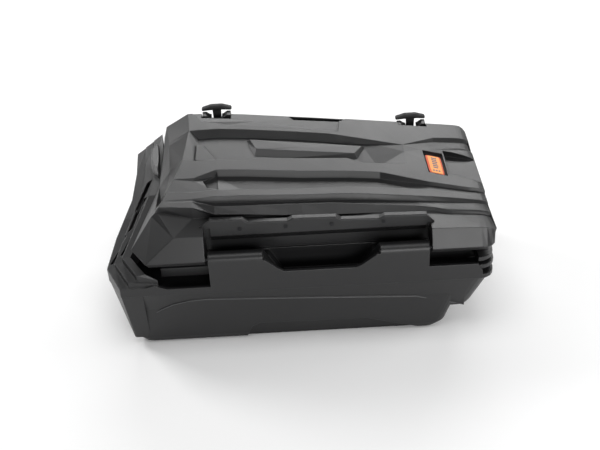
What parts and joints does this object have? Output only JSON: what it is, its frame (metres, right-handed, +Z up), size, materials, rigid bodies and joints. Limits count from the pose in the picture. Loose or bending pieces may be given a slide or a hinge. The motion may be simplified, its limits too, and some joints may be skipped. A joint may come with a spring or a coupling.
{
  "type": "saddlebag",
  "caption": "Hard hinged cargo case with a ribbed, sloping lid, a rear hinge hood, a stepped end and pull-over rubber strap latches.",
  "frame": {"origin": "middle of the bottom of the whole part's bounding box", "axes": "+X along the case towards its lower end, +Y from the hinge side to the latch side, +Z up"},
  "size_m": [0.692, 0.4, 0.284],
  "materials": {
    "base_plastic": "satin charcoal with a fine moulded grain",
    "lid_plastic": "satin charcoal with a fine moulded grain",
    "hood_plastic": "satin charcoal",
    "latch_plastic": "matt near-black",
    "screw_steel": "black-zinc plated",
    "pin_steel": "ground stainless",
    "sleeve_steel": "zinc plated",
    "seal_rubber": "soft foam rubber",
    "mat_rubber": "ribbed rubber",
    "plug_rubber": "moulded rubber",
    "strap_rubber": "near-black moulded rubber",
    "badge_orange": "orange enamel border with a pale orange field"
  },
  "bodies": {
    "base": {"base_shell": "base_plastic", "hinge_pin_left": "pin_steel", "hinge_pin_right": "pin_steel", "floor_mat": "mat_rubber", "mounting_sleeves": "sleeve_steel", "drain_plug": "plug_rubber", "bracket_screws": "screw_steel", "latch_bracket_left": "latch_plastic", "latch_bracket_right": "latch_plastic", "latch_pin_left": "pin_steel", "latch_pin_right": "pin_steel"},
    "lid": {"lid_shell": "lid_plastic", "hinge_hood": "hood_plastic", "hood_screws": "screw_steel", "lid_seal": "seal_rubber", "badge_plate": "badge_orange", "keeper_screws": "screw_steel", "latch_keeper_left": "latch_plastic", "latch_keeper_right": "latch_plastic"},
    "strap_left": {"latch_strap_left": "strap_rubber"},
    "strap_right": {"latch_strap_right": "strap_rubber"}
  },
  "joints": [
    {"name": "lid_hinge", "type": "hinge", "parent": "base", "child": "lid", "pos_m": [0, -0.188, 0.183], "axis": [1, 0, 0], "range_deg": [0, 100]},
    {"name": "strap_left_pivot", "type": "hinge", "parent": "base", "child": "strap_left", "pos_m": [-0.149, 0.1935, 0.15], "axis": [-1, 0, 0], "range_deg": [0, 150]},
    {"name": "strap_right_pivot", "type": "hinge", "parent": "base", "child": "strap_right", "pos_m": [0.24, 0.1935, 0.15], "axis": [-1, 0, 0], "range_deg": [0, 150]}
  ]
}
